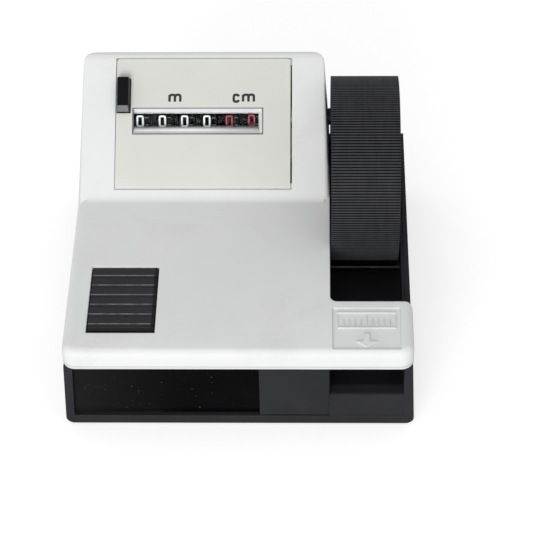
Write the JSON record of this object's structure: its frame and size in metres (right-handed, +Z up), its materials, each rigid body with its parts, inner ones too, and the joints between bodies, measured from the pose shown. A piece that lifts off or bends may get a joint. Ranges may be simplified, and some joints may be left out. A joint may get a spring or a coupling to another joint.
{
  "type": "cable length counter",
  "caption": "Desktop cable length counter: a ribbed measuring wheel on a swing arm over a cable channel beside a sloping housing with drum counter, reset key and lift button.",
  "frame": {"origin": "middle of the footprint, on the table", "axes": "+X to the right, +Y to the back, +Z up; the cable mouth and the deck face -Y"},
  "size_m": [0.1692, 0.172, 0.1097],
  "materials": {
    "cover_white": "fine matt moulded",
    "tray_grey": "fine matt moulded",
    "panel_gloss": "polished",
    "plate_beige": "satin",
    "bezel_silver": "satin silver white",
    "lens_clear": "clear",
    "drum_black": "matt with printed figures",
    "separator_gloss": "polished",
    "key_black": "satin",
    "steel_bright": "ground",
    "bar_burnished": "burnished dark",
    "steel_sheet": "zinc plated",
    "screw_steel": "zinc plated",
    "spring_steel": "drawn",
    "gear_white": "natural",
    "brass": "turned",
    "tyre_rubber": "ribbed matt",
    "wheel_grey": "moulded",
    "foot_rubber": "matt"
  },
  "bodies": {
    "base": {"base_tray": "tray_grey", "front_panel": "panel_gloss", "front_block": "tray_grey", "cable_channel": "tray_grey", "roller_axle": "steel_bright", "front_guide_bar": "bar_burnished", "rear_guide_bar": "bar_burnished", "rubber_feet": "foot_rubber", "base_screws": "screw_steel", "top_cover": "cover_white", "label_marks": "cover_white", "faceplate": "plate_beige", "window_bezel": "bezel_silver", "window_lens": "lens_clear", "carry_shaft": "steel_bright", "counter_frame": "steel_sheet", "drum_separators": "separator_gloss", "reset_spring": "spring_steel", "bearing_bracket": "steel_sheet", "bearing_bush": "brass", "arm_spring": "spring_steel", "bracket_screws": "screw_steel", "frame_screws": "screw_steel", "rocker_pin": "steel_bright"},
    "arm": {"swing_arm": "wheel_grey", "pivot_sleeve": "wheel_grey", "lift_crank": "steel_sheet", "crank_pin": "steel_bright", "wheel_axle": "steel_bright", "axle_clip": "steel_bright", "idler_pin": "steel_bright"},
    "wheel": {"wheel_drum": "wheel_grey", "wheel_tyre": "tyre_rubber", "hub_gear": "gear_white"},
    "idler": {"idler_gear": "gear_white"},
    "counter_shaft": {"drive_shaft": "steel_bright", "drive_pinion": "brass", "digit_drum_1": "drum_black"},
    "rocker": {"lift_rocker": "wheel_grey", "lift_button": "key_black"},
    "key": {"reset_key": "key_black", "reset_comb": "steel_sheet"},
    "roller": {"support_roller": "steel_bright"},
    "drum_2": {"digit_drum_2": "drum_black"},
    "drum_3": {"digit_drum_3": "drum_black"},
    "drum_4": {"digit_drum_4": "drum_black"},
    "drum_5": {"digit_drum_5": "drum_black"},
    "drum_6": {"digit_drum_6": "drum_black"},
    "carry_1": {"carry_pinion_1": "brass"},
    "carry_2": {"carry_pinion_2": "brass"},
    "carry_3": {"carry_pinion_3": "brass"},
    "carry_4": {"carry_pinion_4": "brass"},
    "carry_5": {"carry_pinion_5": "brass"}
  },
  "joints": [
    {"name": "arm_swing", "type": "hinge", "parent": "base", "child": "arm", "pos_m": [0.0373, 0.06751, 0.0673], "axis": [-1, 0, 0], "range_deg": [0, 25], "stiffness_Nm_per_rad": 0.08, "springref_deg": -17.19},
    {"name": "wheel_spin", "type": "hinge", "parent": "arm", "child": "wheel", "pos_m": [0.0613, 0.03199, 0.06324], "axis": [1, 0, 0], "continuous": true},
    {"name": "idler_spin", "type": "hinge", "parent": "arm", "child": "idler", "pos_m": [0.0534, 0.05567, 0.06595], "axis": [1, 0, 0], "continuous": true},
    {"name": "shaft_spin", "type": "hinge", "parent": "arm", "child": "counter_shaft", "pos_m": [0.0534, 0.06751, 0.0673], "axis": [1, 0, 0], "continuous": true},
    {"name": "lift_press", "type": "hinge", "parent": "base", "child": "rocker", "pos_m": [-0.0135, -0.0125, 0.029], "axis": [1, 0, 0], "range_deg": [0, 5.62]},
    {"name": "key_press", "type": "slide", "parent": "base", "child": "key", "axis": [0, 0.5736, -0.8192], "range_m": [0, 0.003], "stiffness_N_per_m": 300, "springref_m": -0.002, "deforming": ["reset_spring"]},
    {"name": "roller_spin", "type": "hinge", "parent": "base", "child": "roller", "pos_m": [0.0613, 0.03199, 0.01194], "axis": [1, 0, 0], "continuous": true},
    {"name": "drum_2_spin", "type": "hinge", "parent": "base", "child": "drum_2", "pos_m": [-0.00627, 0.06751, 0.0673], "axis": [1, 0, 0], "continuous": true},
    {"name": "drum_3_spin", "type": "hinge", "parent": "base", "child": "drum_3", "pos_m": [-0.01769, 0.06751, 0.0673], "axis": [1, 0, 0], "continuous": true},
    {"name": "drum_4_spin", "type": "hinge", "parent": "base", "child": "drum_4", "pos_m": [-0.02911, 0.06751, 0.0673], "axis": [1, 0, 0], "continuous": true},
    {"name": "drum_5_spin", "type": "hinge", "parent": "base", "child": "drum_5", "pos_m": [-0.04053, 0.06751, 0.0673], "axis": [1, 0, 0], "continuous": true},
    {"name": "drum_6_spin", "type": "hinge", "parent": "base", "child": "drum_6", "pos_m": [-0.05195, 0.06751, 0.0673], "axis": [1, 0, 0], "continuous": true},
    {"name": "carry_1_spin", "type": "hinge", "parent": "base", "child": "carry_1", "pos_m": [-0.00057, 0.07651, 0.05658], "axis": [1, 0, 0], "continuous": true},
    {"name": "carry_2_spin", "type": "hinge", "parent": "base", "child": "carry_2", "pos_m": [-0.01199, 0.07651, 0.05658], "axis": [1, 0, 0], "continuous": true},
    {"name": "carry_3_spin", "type": "hinge", "parent": "base", "child": "carry_3", "pos_m": [-0.02341, 0.07651, 0.05658], "axis": [1, 0, 0], "continuous": true},
    {"name": "carry_4_spin", "type": "hinge", "parent": "base", "child": "carry_4", "pos_m": [-0.03483, 0.07651, 0.05658], "axis": [1, 0, 0], "continuous": true},
    {"name": "carry_5_spin", "type": "hinge", "parent": "base", "child": "carry_5", "pos_m": [-0.04625, 0.07651, 0.05658], "axis": [1, 0, 0], "continuous": true}
  ],
  "couplings": [
    {"joint": "idler_spin", "follows": "wheel_spin", "ratio": -3},
    {"joint": "shaft_spin", "follows": "wheel_spin", "ratio": 3},
    {"joint": "lift_press", "follows": "arm_swing", "ratio": 0.225},
    {"joint": "drum_2_spin", "follows": "wheel_spin", "ratio": 0.3},
    {"joint": "drum_3_spin", "follows": "wheel_spin", "ratio": 0.03},
    {"joint": "drum_4_spin", "follows": "wheel_spin", "ratio": 0.003},
    {"joint": "drum_5_spin", "follows": "wheel_spin", "ratio": 0.0003},
    {"joint": "drum_6_spin", "follows": "wheel_spin", "ratio": 0.00003},
    {"joint": "carry_1_spin", "follows": "wheel_spin", "ratio": -0.75},
    {"joint": "carry_2_spin", "follows": "wheel_spin", "ratio": -0.075},
    {"joint": "carry_3_spin", "follows": "wheel_spin", "ratio": -0.0075},
    {"joint": "carry_4_spin", "follows": "wheel_spin", "ratio": -0.00075},
    {"joint": "carry_5_spin", "follows": "wheel_spin", "ratio": -0.000075}
  ]
}
